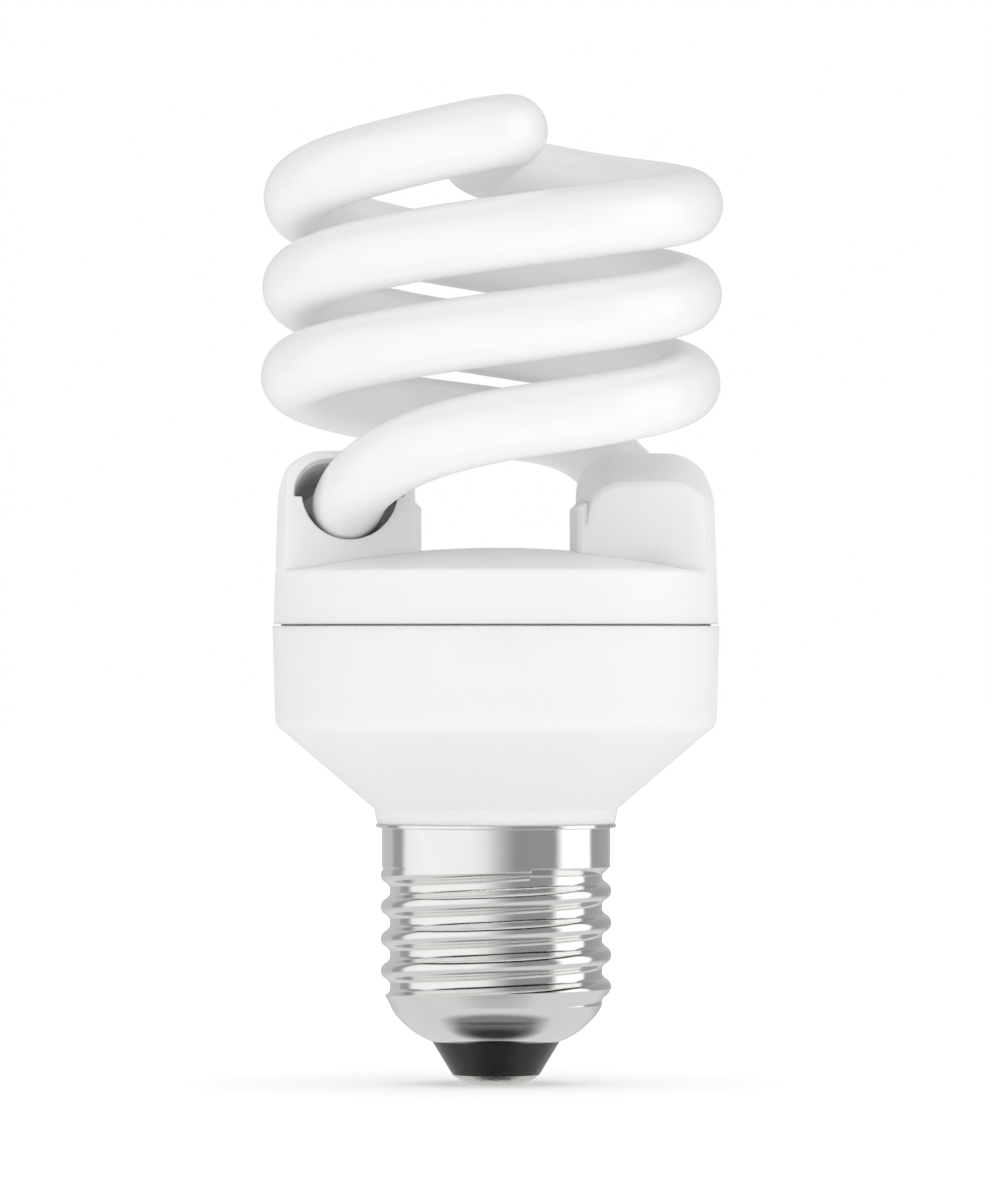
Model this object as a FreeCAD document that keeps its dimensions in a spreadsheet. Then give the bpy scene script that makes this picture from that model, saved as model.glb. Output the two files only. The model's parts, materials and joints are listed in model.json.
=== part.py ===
import FreeCAD, Part
import math
import os
import Sketcher

# Spiral energy saving bulb with an E27 screw cap.  Millimetres, +Z up along the lamp axis,
# origin on the tip of the centre contact.  The viewer's side is -Y.

DIMENSIONS = {
    # heights of the lamp, one on top of the other, from the thread up to the cover's rim
    "skirt_z": 24.4,
    "skirt_height": 4.85,
    "neck_height": 1.75,
    "shoulder_height": 9.45,
    "side_height": 11.2,
    "cover_height": 6.35,
    # discharge tube: a double helix, its two strands joined by a bridge across the top;
    # a rise is a height over the cover's rim, an inset is measured in from the socket
    "tube_d": 8.12,
    "coil_r": 21.97,
    "coil_lead": 20.25,
    "coil_top_rise": 46.79,
    "coil_offset_x": -0.5,
    "coil_lean": 0.86,
    "coil_fan": 0.0506,
    "coil_fan_rise": 27.8,
    "strand_turns": 1.333,
    "bridge_x": 2.85,
    "bridge_y": 21.9,
    "bridge_rise": 48.2,
    "bridge_bend_r": 5.7,
    "front_leg_high_x": 1.5,
    "front_leg_high_y": 22.6,
    "front_leg_high_rise": 15.6,
    "front_leg_mid_x": 9.3,
    "front_leg_mid_y": 20.6,
    "front_leg_mid_rise": 13.45,
    "front_leg_low_inset": 2.7,
    "front_leg_low_y": 14.4,
    "front_leg_low_rise": 10.4,
    "back_leg_high_x": 0.8,
    "back_leg_high_y": 22.6,
    "back_leg_high_rise": 17.2,
    "back_leg_mid_x": 8.8,
    "back_leg_mid_y": 20.9,
    "back_leg_mid_rise": 15.9,
    "back_leg_low_inset": 2.8,
    "back_leg_low_y": 14.8,
    "back_leg_low_rise": 11.2,
    "mouth_leg_inset": 0.8,
    "mouth_leg_y": 6.6,
    "mouth_leg_rise": 8.0,
    "leg_turn_y": -0.4,
    "leg_turn_rise": 5.3,
    "leg_bend_drop": 1.4,
    "tube_end_drop": 7.5,
    # sockets in the cover that hold the two tube ends
    "socket_inset": 6.1,
    "socket_y": 3.0,
    "socket_bore_r": 4.9,
    "socket_wall": 0.9,
    "socket_depth": 5.6,
    "socket_sink": 1.0,
    "floor_hole_r": 5.7,
    "floor_hole_shift": 1.1,
    "floor_hole_sink": 0.2,
    # round sides: the lower shell is the largest, the cover and both tapers are measured from it
    "housing_r": 25.31,
    "housing_taper": 0.31,
    "housing_wall": 1.6,
    "seam_step": 0.11,
    "seam_gap": 0.2,
    "seam_depth": 1.01,
    "cover_taper": 0.2,
    "cover_wall": 1.6,
    "cover_edge_r": 0.5,
    "dome_inset": 2.0,
    "dome_rise": 2.5,
    "dome_wall": 1.6,
    "lip_wall": 1.3,
    "lip_play": 0.1,
    "lip_root": 2.75,
    # hoods over the tube ends
    "hood_inner_run": 8.9,
    "hood_back_inner_run": 8.15,
    "hood_outer_inset": 0.1,
    "hood_taper": 0.5,
    "hood_step": 0.7,
    "hood_step_rise": 6.9,
    "hood_mouth_y": 7.2,
    "hood_back_y": 8.0,
    "hood_mouth_rise": 13.45,
    "hood_back_rise": 9.8,
    "hood_corner_r": 4.8,
    "hood_outer_corner_r": 5.6,
    "hood_wall": 1.05,
    "hood_outer_wall": 2.2,
    "hood_floor_rise": 1.6,
    "hood_edge": 0.45,
    "mouth_sill_rise": 8.2,
    "mouth_lip": 0.2,
    "notch_inset": 0.85,
    "notch_rise": 8.8,
    "notch_r": 5.42,
    # lower shell
    "chamfer_edge_r": 1.6,
    "neck_step": 0.4,
    "spigot_wall": 1.4,
    "spigot_gap": 0.1,
    "rib_length": 2.6,
    "rib_width": 2.0,
    "rib_height": 3.0,
    "rib_slope": 0.5,
    "rib_sink": 0.4,
    "snap_width": 6.0,
    "snap_depth": 0.6,
    "snap_height": 1.6,
    "snap_drop": 3.25,
    "snap_play": 0.15,
    "snap_sink": 0.3,
    # screw shell
    "skirt_r": 12.95,
    "flange_ledge": 0.65,
    "neck_ledge": 0.55,
    "flange_thick": 0.4,
    "shell_wall": 0.4,
    "spigot_play": 0.05,
    "thread_pitch": 3.629,
    "thread_step": 0.13,
    "thread_depth": 1.03,
    "thread_sink": 0.06,
    "thread_low_z": 5.35,
    "thread_turns": 5.3,
    "thread_merge": 1.2,
    "foot_gap": 0.25,
    "crest_play": 0.02,
    "bowl_top_z": 8.8,
    "bowl_mid_inset": 1.3,
    "bowl_mid_z": 6.95,
    "bowl_mouth_inset": 4.82,
    "bowl_mouth_z": 4.6,
    "bowl_upper_r": 4.2,
    "bowl_lower_r": 9.0,
    "thread_fade": 1.9,
    # glass insulator and centre contact
    "insulator_taper": 2.3,
    "insulator_low_z": 0.86,
    "contact_ledge": 0.06,
    "contact_flat_r": 2.4,
    "contact_edge_r": 3.0,
    "contact_stem_r": 0.9,
    "contact_stem": 2.2,
    "stem_play": 0.3,
    # circuit board between the ribs and the lip of the cover
    "board_drop": 8.75,
    "board_thick": 1.6,
    "board_play": 0.6,
    # parts on the board; an inset is measured in from the cover's lip, which stands on the board
    "capacitor_r": 4.0,
    "capacitor_length": 17.5,
    "capacitor_play": 0.4,
    "capacitor_bead": 0.35,
    "capacitor_bead_drop": 1.8,
    "capacitor_bead_half": 0.6,
    "capacitor_edge_r": 0.6,
    "choke_x": 0.0,
    "choke_y": 0.0,
    "choke_length": 14.0,
    "choke_width": 6.5,
    "choke_height": 11.0,
    "choke_leg": 2.2,
    "choke_post_r": 2.2,
    "bobbin_wall": 0.8,
    "ring_x": 6.0,
    "ring_inset": 7.3,
    "ring_r": 4.0,
    "ring_bore_r": 2.1,
    "ring_thick": 3.0,
    "ring_wire_r": 0.3,
    "emi_x": -5.0,
    "emi_inset": 8.2,
    "emi_r": 3.6,
    "emi_waist_r": 1.6,
    "emi_coil_r": 3.1,
    "emi_height": 8.0,
    "emi_flange": 1.3,
    "transistor_inset": 10.5,
    "transistor_y": 7.5,
    "transistor_width": 7.8,
    "transistor_thick": 2.8,
    "transistor_height": 7.0,
    "film_x": -4.4,
    "film_inset": 6.5,
    "film_length": 9.0,
    "film_width": 4.2,
    "film_height": 8.5,
    "film_edge_r": 0.8,
    "snubber_x": 7.0,
    "snubber_inset": 7.0,
    "snubber_length": 7.5,
    "snubber_width": 3.4,
    "snubber_height": 6.5,
    "diode_inset": 9.0,
    "diode_space_x": 8.8,
    "diode_space_y": 3.8,
    "diode_r": 1.3,
    "diode_length": 4.6,
    "diode_lead": 1.6,
    "fuse_y": 12.5,
    "fuse_r": 1.7,
    "fuse_length": 8.0,
    "fuse_lead": 1.8,
    "thermistor_x": 4.5,
    "thermistor_y": -9.0,
    "thermistor_r": 3.0,
    "thermistor_thick": 2.0,
    "lead_r": 0.35,
    "lead_sink": 0.5,
    "pin_r": 0.42,
    "transistor_lead": 1.5,
    "transistor_pitch": 2.3,
    "bobbin_play": 0.2,
    "winding_inset": 0.3,
    "winding_corner_r": 1.5,
    "ring_band": 2.4,
    "cement_height": 1.6,
    # wires
    "filament_space": 3.2,
    "wire_r": 0.35,
    "post_width": 1.0,
    "post_height": 3.6,
    "shell_wire_r": 0.4,
    "shell_wire_drop": 1.8,
    "wire_play": 0.1,
    # how far a cut runs past the face it starts or ends on
    "cut_over": 0.5,
}

doc = FreeCAD.newDocument("spiral_lamp")
sheet = doc.addObject("Spreadsheet::Sheet", "dims")
for row, (alias, amount) in enumerate(DIMENSIONS.items(), start=1):
    sheet.set("A%d" % row, alias)
    sheet.set("B%d" % row, str(amount))
    sheet.setAlias("B%d" % row, alias)
doc.recompute()


class Size:
    """A length written once: its number and the same sum of sheet cells as text."""

    def __init__(self, value, text):
        self.value = value
        self.text = text

    def __add__(self, other):
        other = size_of(other)
        return Size(self.value + other.value, "(%s + %s)" % (self.text, other.text))

    def __sub__(self, other):
        other = size_of(other)
        return Size(self.value - other.value, "(%s - %s)" % (self.text, other.text))

    def __mul__(self, other):
        other = size_of(other)
        return Size(self.value * other.value, "(%s * %s)" % (self.text, other.text))

    def __truediv__(self, other):
        other = size_of(other)
        return Size(self.value / other.value, "(%s / %s)" % (self.text, other.text))

    def __neg__(self):
        return Size(-self.value, "(-1 * %s)" % self.text)

    def __radd__(self, other):
        return size_of(other) + self

    def __rsub__(self, other):
        return size_of(other) - self

    def __rmul__(self, other):
        return size_of(other) * self


def size_of(item):
    if isinstance(item, Size):
        return item
    return Size(float(item), "%.6f" % item)


def dim(alias):
    return Size(float(sheet.get(alias)), "dims.%s" % alias)


def root(item):
    return Size(math.sqrt(item.value), "sqrt(%s)" % item.text)


def bind(item, prop, amount):
    item.setExpression(prop, size_of(amount).text)


def place(item, x=0, y=0, z=0):
    for axis, amount in zip("xyz", (x, y, z)):
        bind(item, "Placement.Base.%s" % axis, amount)


def new_body(label):
    body = doc.addObject("PartDesign::Body", label)
    body.Label = label
    return body


def origin_plane(body, role):
    for feature in body.Origin.OriginFeatures:
        if feature.Role == role:
            return feature


def new_sketch(body, name, role, offset=0):
    sketch = body.newObject("Sketcher::SketchObject", name)
    sketch.AttachmentSupport = [(origin_plane(body, role), "")]
    sketch.MapMode = "FlatFace"
    bind(sketch, "AttachmentOffset.Base.z", offset)
    return sketch


def pin(sketch, geometry, end, x, y):
    """Hold one point of a sketch at its two coordinates."""
    for kind, amount in (("DistanceX", x), ("DistanceY", y)):
        amount = size_of(amount)
        index = sketch.addConstraint(Sketcher.Constraint(kind, -1, 1, geometry, end, amount.value))
        sketch.setExpression("Constraints[%d]" % index, amount.text)


def outline(sketch, corners):
    """Closed outline.  A corner is (x, y); (x, y, r) starts an arc of radius r to the next
    corner, r positive when it turns counter-clockwise."""
    count = len(corners)
    for k, corner in enumerate(corners):
        x0, y0 = (size_of(c).value for c in corner[:2])
        x1, y1 = (size_of(c).value for c in corners[(k + 1) % count][:2])
        if len(corner) == 2:
            line = Part.LineSegment(FreeCAD.Vector(x0, y0, 0), FreeCAD.Vector(x1, y1, 0))
            sketch.addGeometry(line, False)
            continue
        radius = size_of(corner[2])
        turn = 1 if radius.value > 0 else -1
        chord = math.hypot(x1 - x0, y1 - y0)
        rise = math.sqrt(radius.value ** 2 - chord ** 2 / 4)
        cx = (x0 + x1) / 2 - turn * rise * (y1 - y0) / chord
        cy = (y0 + y1) / 2 + turn * rise * (x1 - x0) / chord
        circle = Part.Circle(FreeCAD.Vector(cx, cy, 0), FreeCAD.Vector(0, 0, 1), abs(radius.value))
        first = math.atan2(y0 - cy, x0 - cx)
        last = math.atan2(y1 - cy, x1 - cx)
        if turn < 0:
            first, last = last, first
        sketch.addGeometry(Part.ArcOfCircle(circle, first, last), False)
    for k, corner in enumerate(corners):
        arc_back = len(corner) == 3 and size_of(corner[2]).value < 0
        start, end = (2, 1) if arc_back else (1, 2)
        pin(sketch, k, start, corner[0], corner[1])
        after = corners[(k + 1) % count]
        after_start = 2 if len(after) == 3 and size_of(after[2]).value < 0 else 1
        sketch.addConstraint(Sketcher.Constraint("Coincident", k, end, (k + 1) % count, after_start))
        if len(corner) == 3:
            radius = size_of(corner[2])
            radius = radius if radius.value > 0 else -radius
            index = sketch.addConstraint(Sketcher.Constraint("Radius", k, radius.value))
            sketch.setExpression("Constraints[%d]" % index, radius.text)


def disc(sketch, x, y, radius):
    radius = size_of(radius)
    centre = FreeCAD.Vector(size_of(x).value, size_of(y).value, 0)
    k = sketch.addGeometry(Part.Circle(centre, FreeCAD.Vector(0, 0, 1), radius.value), False)
    pin(sketch, k, 3, x, y)
    index = sketch.addConstraint(Sketcher.Constraint("Radius", k, radius.value))
    sketch.setExpression("Constraints[%d]" % index, radius.text)


def turned(body, kind, name, corners):
    """Revolution or Groove of an (r, z) outline about the lamp axis."""
    sketch = new_sketch(body, name + "_sketch", "XZ_Plane")
    outline(sketch, corners)
    feature = body.newObject("PartDesign::" + kind, name)
    feature.Profile = sketch
    feature.ReferenceAxis = (sketch, ["V_Axis"])
    feature.Angle = 360
    return feature


def extruded(body, kind, name, sketch, length, reverse=False, centred=False):
    feature = body.newObject("PartDesign::" + kind, name)
    feature.Profile = sketch
    feature.Reversed = reverse
    feature.Midplane = centred
    bind(feature, "Length", length)
    return feature


def lofted(body, kind, name, sections):
    feature = body.newObject("PartDesign::" + kind, name)
    feature.Profile = sections[0]
    feature.Sections = sections[1:]
    feature.Ruled = True
    return feature


def repeated(body, name, originals, count):
    pattern = body.newObject("PartDesign::PolarPattern", name)
    pattern.Originals = originals
    pattern.Axis = (origin_axis(body), [""])
    pattern.Angle = 360
    pattern.Occurrences = count
    body.Tip = pattern
    return pattern


def origin_axis(body):
    for feature in body.Origin.OriginFeatures:
        if feature.Role == "Z_Axis":
            return feature


def box(name, length, width, height, x, y, z):
    """Block whose foot is centred on (x, y) at height z."""
    item = doc.addObject("Part::Box", name)
    bind(item, "Length", length)
    bind(item, "Width", width)
    bind(item, "Height", height)
    place(item, x - length / 2, y - width / 2, z)
    return item


def cylinder(name, radius, height, x, y, z):
    item = doc.addObject("Part::Cylinder", name)
    bind(item, "Radius", radius)
    bind(item, "Height", height)
    place(item, x, y, z)
    return item


def lying_cylinder(name, radius, length, x, y, z, along):
    """Cylinder centred on (x, y, z), its axis along the direction given."""
    item = cylinder(name, radius, length, x, y, z)
    turn = FreeCAD.Rotation(FreeCAD.Vector(0, 0, 1), along)
    item.Placement = FreeCAD.Placement(item.Placement.Base, turn)
    place(item, x - length / 2 * along.x, y - length / 2 * along.y, z - length / 2 * along.z)
    return item


def joined(label, kind, base, tool):
    item = doc.addObject("Part::" + kind, label)
    item.Label = label
    item.Base = base
    item.Tool = tool
    return item


def fused(label, shapes):
    item = doc.addObject("Part::MultiFuse", label)
    item.Label = label
    item.Shapes = shapes
    return item


nodes = []


def keep(item, label):
    item.Label = label
    nodes.append(item)
    return item


# ---- sizes that several pieces share
tube_r = dim("tube_d") / 2
skirt_z = dim("skirt_z")
neck_base_z = skirt_z + dim("skirt_height")
neck_top_z = neck_base_z + dim("neck_height")
chamfer_z = neck_top_z + dim("shoulder_height")
seam_z = chamfer_z + dim("side_height")
rim_z = seam_z + dim("cover_height")
board_z = seam_z - dim("board_drop")
board_top = board_z + dim("board_thick")
snap_z = seam_z - dim("snap_drop")
tube_end_z = rim_z - dim("tube_end_drop")
housing_r = dim("housing_r")
housing_low_r = housing_r - dim("housing_taper")
bore_r = housing_low_r - dim("housing_wall")
cover_r = housing_r - dim("seam_step")
rim_r = cover_r - dim("cover_taper")
cover_bore_r = rim_r - dim("cover_wall")
lip_r = bore_r - dim("lip_play")
lip_inner_r = lip_r - dim("lip_wall")
socket_x = bore_r - dim("socket_inset")
socket_y = dim("socket_y")
skirt_r = dim("skirt_r")
neck_base_r = skirt_r + dim("neck_ledge")
neck_r = neck_base_r + dim("neck_step")
shell_wall = dim("shell_wall")
skirt_bore_r = skirt_r - shell_wall
spigot_r = skirt_bore_r - dim("spigot_play")
spigot_bore_r = spigot_r - dim("spigot_wall")
slant_share = math.sqrt(2) - 1
spigot_z = skirt_z + shell_wall * slant_share + dim("spigot_gap")
crest_r = skirt_r + dim("thread_step")
root_r = crest_r - dim("thread_depth")
thread_bore_r = root_r - shell_wall
cut_over = dim("cut_over")


# ---- discharge tube
def number(alias):
    return float(sheet.get(alias))


def above_rim(alias):
    return rim_z.value + number(alias)


def as_bent(point):
    """The small lean and fan of the coil that the hand-bent glass has."""
    x, y, z = point
    middle = above_rim("coil_fan_rise")
    z -= y / number("coil_r") * number("coil_fan") * (z - middle)
    lean = math.radians(number("coil_lean"))
    bent_x = x * math.cos(lean) + (z - middle) * math.sin(lean) + number("coil_offset_x")
    bent_z = middle - x * math.sin(lean) + (z - middle) * math.cos(lean)
    return FreeCAD.Vector(bent_x, y, bent_z)


def strand_corners(side):
    """Corners about one strand, 30 degrees apart, from the top down.  The arcs that
    round them off touch the helix half way between two corners."""
    step = 30.0
    corner_r = number("coil_r") / math.cos(math.radians(step / 2))
    count = int(round(number("strand_turns") * 360 / step))
    corners = []
    for k in range(count + 1):
        angle = 270 - step - step * k
        z = above_rim("coil_top_rise") - number("coil_lead") * (270 - angle) / 360
        x = side * corner_r * math.cos(math.radians(angle))
        y = side * corner_r * math.sin(math.radians(angle))
        corners.append(as_bent((x, y, z)))
    return corners


def leg_corners(name, side):
    """Corners of one leg from the coil down into its socket."""
    end_x = socket_x.value
    places = [
        (number(name + "_leg_high_x"), number(name + "_leg_high_y"), above_rim(name + "_leg_high_rise")),
        (number(name + "_leg_mid_x"), number(name + "_leg_mid_y"), above_rim(name + "_leg_mid_rise")),
        (end_x - number(name + "_leg_low_inset"), number(name + "_leg_low_y"),
         above_rim(name + "_leg_low_rise")),
        (end_x - number("mouth_leg_inset"), number("mouth_leg_y"), above_rim("mouth_leg_rise")),
        (end_x, -number("leg_turn_y"), above_rim("leg_turn_rise")),
        (end_x, -socket_y.value, rim_z.value - number("leg_bend_drop")),
        (end_x, -socket_y.value, tube_end_z.value),
    ]
    return [FreeCAD.Vector(side * x, side * y, z) for x, y, z in places]


def rounded_path(corners, bends):
    """Straight runs joined by tangent arcs.  An arc reaches half way along the shorter
    run unless the corner has a radius of its own in bends."""
    edges = []
    at = corners[0]
    for k in range(1, len(corners) - 1):
        into = corners[k] - corners[k - 1]
        away = corners[k + 1] - corners[k]
        turn = into.getAngle(away)
        reach = min(into.Length, away.Length) / 2
        if k in bends:
            reach = bends[k] * math.tan(turn / 2)
        radius = reach / math.tan(turn / 2)
        start = corners[k] - into.normalize() * reach
        end = corners[k] + away.normalize() * reach
        inward = (away - into).normalize()
        middle = corners[k] + inward * (math.hypot(reach, radius) - radius)
        if (start - at).Length > 0.001:
            edges.append(Part.LineSegment(at, start).toShape())
        edges.append(Part.Arc(start, middle, end).toShape())
        at = end
    edges.append(Part.LineSegment(at, corners[-1]).toShape())
    return Part.Wire(edges)


def tube_path():
    first = strand_corners(-1)
    last = strand_corners(1)
    across, along, top = number("bridge_x"), number("bridge_y"), above_rim("bridge_rise")
    elbows = [as_bent((-across, along, top)), as_bent((across, -along, top))]
    down = leg_corners("front", -1)
    corners = down[::-1] + first[::-1] + elbows + last + leg_corners("back", 1)
    bridge = len(down) + len(first)
    bend = number("bridge_bend_r")
    return rounded_path(corners, {bridge: bend, bridge + 1: bend})


tube_line = doc.addObject("Part::Feature", "tube_line")
tube_line.Shape = tube_path()
tube_section = doc.addObject("Part::Circle", "tube_section")
bind(tube_section, "Radius", tube_r)
place(tube_section, -socket_x, socket_y, tube_end_z)
tube = doc.addObject("Part::Sweep", "discharge_tube")
tube.Sections = [tube_section]
tube.Spine = (tube_line, ["Edge%d" % (k + 1) for k in range(len(tube_line.Shape.Edges))])
tube.Solid = True
tube.Frenet = False
keep(tube, "discharge_tube")

# ---- upper shell with its two hoods
dome_r = rim_r - dim("dome_inset")
dome_rise = dim("dome_rise")
dome_curve_r = (dome_r * dome_r + dome_rise * dome_rise) / (2 * dome_rise)
dome_apex = rim_z + dome_rise
dome_under = dome_apex - dim("dome_wall")
plate_under = rim_z - dim("dome_wall")
inner_curve_r = (cover_bore_r * cover_bore_r + dome_rise * dome_rise) / (2 * dome_rise)
edge_r = dim("cover_edge_r")
seat_r = housing_r - dim("seam_depth")
cover = new_body("tube_cover")
turned(cover, "Revolution", "cover_shell", [
    (lip_inner_r, board_top),
    (lip_r, board_top),
    (lip_r, seam_z),
    (seat_r, seam_z),
    (seat_r, seam_z + dim("seam_gap")),
    (cover_r, seam_z + dim("seam_gap")),
    (rim_r, rim_z - edge_r, edge_r),
    (rim_r - edge_r, rim_z),
    (dome_r, rim_z, dome_curve_r),
    (0, dome_apex),
    (0, dome_under, -inner_curve_r),
    (cover_bore_r, plate_under),
    (cover_bore_r, seam_z + dim("lip_root") + dim("lip_wall")),
    (lip_inner_r, seam_z + dim("lip_root")),
])


def hood_section(name, y, top, foot, inner, outer, corner, outer_corner):
    """Section of a hood at a place along its length; the sketch's x is the lamp's x."""
    sketch = new_sketch(cover, name, "XZ_Plane", y)
    step = dim("hood_step")
    step_z = rim_z + dim("hood_step_rise")
    outline(sketch, [
        (-outer, foot),
        (-inner, foot),
        (-inner, step_z),
        (-inner - step, step_z + step),
        (-inner - step, top - corner, corner),
        (-inner - step - corner, top),
        (-outer + outer_corner, top, outer_corner),
        (-outer, top - outer_corner),
    ])
    return sketch


hood_inner = socket_x - dim("hood_inner_run")
back_inner = socket_x - dim("hood_back_inner_run")
hood_outer = rim_r - dim("hood_outer_inset")
hood_wall = dim("hood_wall")
hood_cheek = dim("hood_outer_wall")
mouth_y = dim("hood_mouth_y")
back_y = dim("hood_back_y")
mouth_z = rim_z + dim("hood_mouth_rise")
back_z = rim_z + dim("hood_back_rise")
corner_r = dim("hood_corner_r")
outer_corner_r = dim("hood_outer_corner_r")
hollow_corner_r = corner_r - hood_wall
hood_edge = dim("hood_edge")
foot_z = rim_z - edge_r * 2
floor_z = rim_z + dim("hood_floor_rise")
slope = (mouth_z - back_z) / (mouth_y + back_y)

hood_block = lofted(cover, "AdditiveLoft", "hood_block", [
    hood_section("hood_mouth_sketch", mouth_y, mouth_z - hood_edge, foot_z, hood_inner + hood_edge,
                 hood_outer, corner_r - hood_edge, outer_corner_r),
    hood_section("hood_front_sketch", mouth_y - hood_edge, mouth_z - slope * hood_edge, foot_z,
                 hood_inner, hood_outer, corner_r, outer_corner_r),
    hood_section("hood_rear_sketch", hood_edge - back_y, back_z + slope * hood_edge, foot_z,
                 back_inner, hood_outer, corner_r, outer_corner_r),
    hood_section("hood_back_sketch", -back_y, back_z - hood_edge, foot_z, back_inner + hood_edge,
                 hood_outer, corner_r - hood_edge, outer_corner_r),
])
hood_hollow = lofted(cover, "SubtractiveLoft", "hood_hollow", [
    hood_section("hollow_mouth_sketch", mouth_y - hood_wall, mouth_z - slope * hood_wall - hood_wall,
                 floor_z, hood_inner + hood_wall, hood_outer - hood_cheek, hollow_corner_r,
                 hollow_corner_r),
    hood_section("hollow_back_sketch", hood_wall - back_y, back_z + slope * hood_wall - hood_wall,
                 floor_z, back_inner + hood_wall, hood_outer - hood_cheek, hollow_corner_r,
                 hollow_corner_r),
])

notch_sketch = new_sketch(cover, "notch_sketch", "XZ_Plane", mouth_y)
notch_x = socket_x - dim("notch_inset")
notch_z = rim_z + dim("notch_rise")
notch_r = dim("notch_r")
sill_z = rim_z + dim("mouth_sill_rise")
notch_half = root(notch_r * notch_r - (notch_z - sill_z) * (notch_z - sill_z))
mouth_top = mouth_z - hood_wall
mouth_in = hood_inner + dim("hood_step") + hood_wall + dim("mouth_lip")
mouth_out = hood_outer - hood_cheek
outline(notch_sketch, [
    (-mouth_out, sill_z),
    (-notch_x - notch_half, sill_z, notch_r),
    (-notch_x, notch_z - notch_r, notch_r),
    (-notch_x + notch_half, sill_z),
    (-mouth_in, sill_z),
    (-mouth_in, mouth_top - hollow_corner_r, hollow_corner_r),
    (-mouth_in - hollow_corner_r, mouth_top),
    (-mouth_out + hollow_corner_r, mouth_top, hollow_corner_r),
    (-mouth_out, mouth_top - hollow_corner_r),
])
notch = extruded(cover, "Pocket", "hood_notch", notch_sketch, hood_wall + cut_over)

collar_foot = plate_under + dim("socket_sink") - dim("socket_depth")
collar_sketch = new_sketch(cover, "collar_sketch", "XY_Plane", collar_foot)
disc(collar_sketch, -socket_x, socket_y, dim("socket_bore_r") + dim("socket_wall"))
collar = extruded(cover, "Pad", "socket_collar", collar_sketch, dim("socket_depth"))
bore_sketch = new_sketch(cover, "bore_sketch", "XY_Plane", collar_foot - cut_over)
disc(bore_sketch, -socket_x, socket_y, dim("socket_bore_r"))
bore = extruded(cover, "Pocket", "socket_bore", bore_sketch, dim("socket_depth") + cut_over, reverse=True)
hole_foot = plate_under + dim("floor_hole_sink")
hole_sketch = new_sketch(cover, "floor_hole_sketch", "XY_Plane", hole_foot)
disc(hole_sketch, -socket_x, socket_y - dim("floor_hole_shift"), dim("floor_hole_r"))
hole = extruded(cover, "Pocket", "floor_hole", hole_sketch, floor_z + cut_over - hole_foot, reverse=True)
repeated(cover, "hoods", [hood_block, hood_hollow, notch, collar, bore, hole], 2)

# the hoods' outer sides are turned flush with the round side below them
turned(cover, "Groove", "flush_side", [
    (cover_r, seam_z + dim("seam_gap")),
    (rim_r + mouth_y, seam_z + dim("seam_gap")),
    (rim_r + mouth_y, mouth_z),
    (rim_r - dim("hood_taper"), mouth_z),
    (rim_r, rim_z),
    (rim_r, rim_z - edge_r),
])
snap_sketch = new_sketch(cover, "snap_sketch", "XZ_Plane")
outline(snap_sketch, [
    (lip_r - dim("snap_sink"), snap_z),
    (lip_r, snap_z),
    (lip_r + dim("snap_depth"), snap_z + dim("snap_height")),
    (lip_r - dim("snap_sink"), snap_z + dim("snap_height")),
])
snap = extruded(cover, "Pad", "snap", snap_sketch, dim("snap_width"), centred=True)
repeated(cover, "snaps", [snap], 4)
keep(cover, "tube_cover")

# ---- lower shell: wall, sloping shoulder, neck and the spigot inside the screw shell
housing = new_body("ballast_housing")
chamfer_run = housing_low_r - neck_r
chamfer_drop = chamfer_z - neck_top_z
slant = root(chamfer_run * chamfer_run + chamfer_drop * chamfer_drop)
tangent = dim("chamfer_edge_r") * slant / chamfer_run - dim("chamfer_edge_r") * chamfer_drop / chamfer_run
wall = dim("housing_wall")
drop = wall * slant / chamfer_run
inner_low_z = chamfer_z + drop - wall * chamfer_drop / chamfer_run
inner_neck_r = spigot_bore_r
inner_neck_z = inner_low_z - (bore_r - inner_neck_r) * chamfer_drop / chamfer_run
turned(housing, "Revolution", "housing_shell", [
    (bore_r, seam_z),
    (bore_r, inner_low_z),
    (inner_neck_r, inner_neck_z),
    (spigot_bore_r, spigot_z),
    (spigot_r, spigot_z),
    (spigot_r, neck_base_z),
    (neck_base_r, neck_base_z),
    (neck_r, neck_top_z),
    (housing_low_r - tangent * chamfer_run / slant, chamfer_z - tangent * chamfer_drop / slant,
     dim("chamfer_edge_r")),
    (housing_low_r, chamfer_z + tangent),
    (housing_r, seam_z),
])
rib_sketch = new_sketch(housing, "rib_sketch", "XZ_Plane")
rib_foot = board_z - dim("rib_height")
outline(rib_sketch, [
    (bore_r - dim("rib_length"), rib_foot + dim("rib_slope") * dim("rib_length")),
    (bore_r + dim("rib_sink"), rib_foot - dim("rib_slope") * dim("rib_sink")),
    (bore_r + dim("rib_sink"), board_z),
    (bore_r - dim("rib_length"), board_z),
])
rib = extruded(housing, "Pad", "rib", rib_sketch, dim("rib_width"), centred=True)
repeated(housing, "ribs", [rib], 6)
catch_sketch = new_sketch(housing, "catch_sketch", "XZ_Plane")
outline(catch_sketch, [
    (bore_r - cut_over, snap_z - dim("snap_play")),
    (lip_r + dim("snap_depth") + dim("snap_play"), snap_z - dim("snap_play")),
    (lip_r + dim("snap_depth") + dim("snap_play"), snap_z + dim("snap_height") + dim("snap_play")),
    (bore_r - cut_over, snap_z + dim("snap_height") + dim("snap_play")),
])
catch = extruded(housing, "Pocket", "catch", catch_sketch, dim("snap_width") + 2 * dim("snap_play"),
                 centred=True)
repeated(housing, "catches", [catch], 4)
keep(housing, "ballast_housing")

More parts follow.
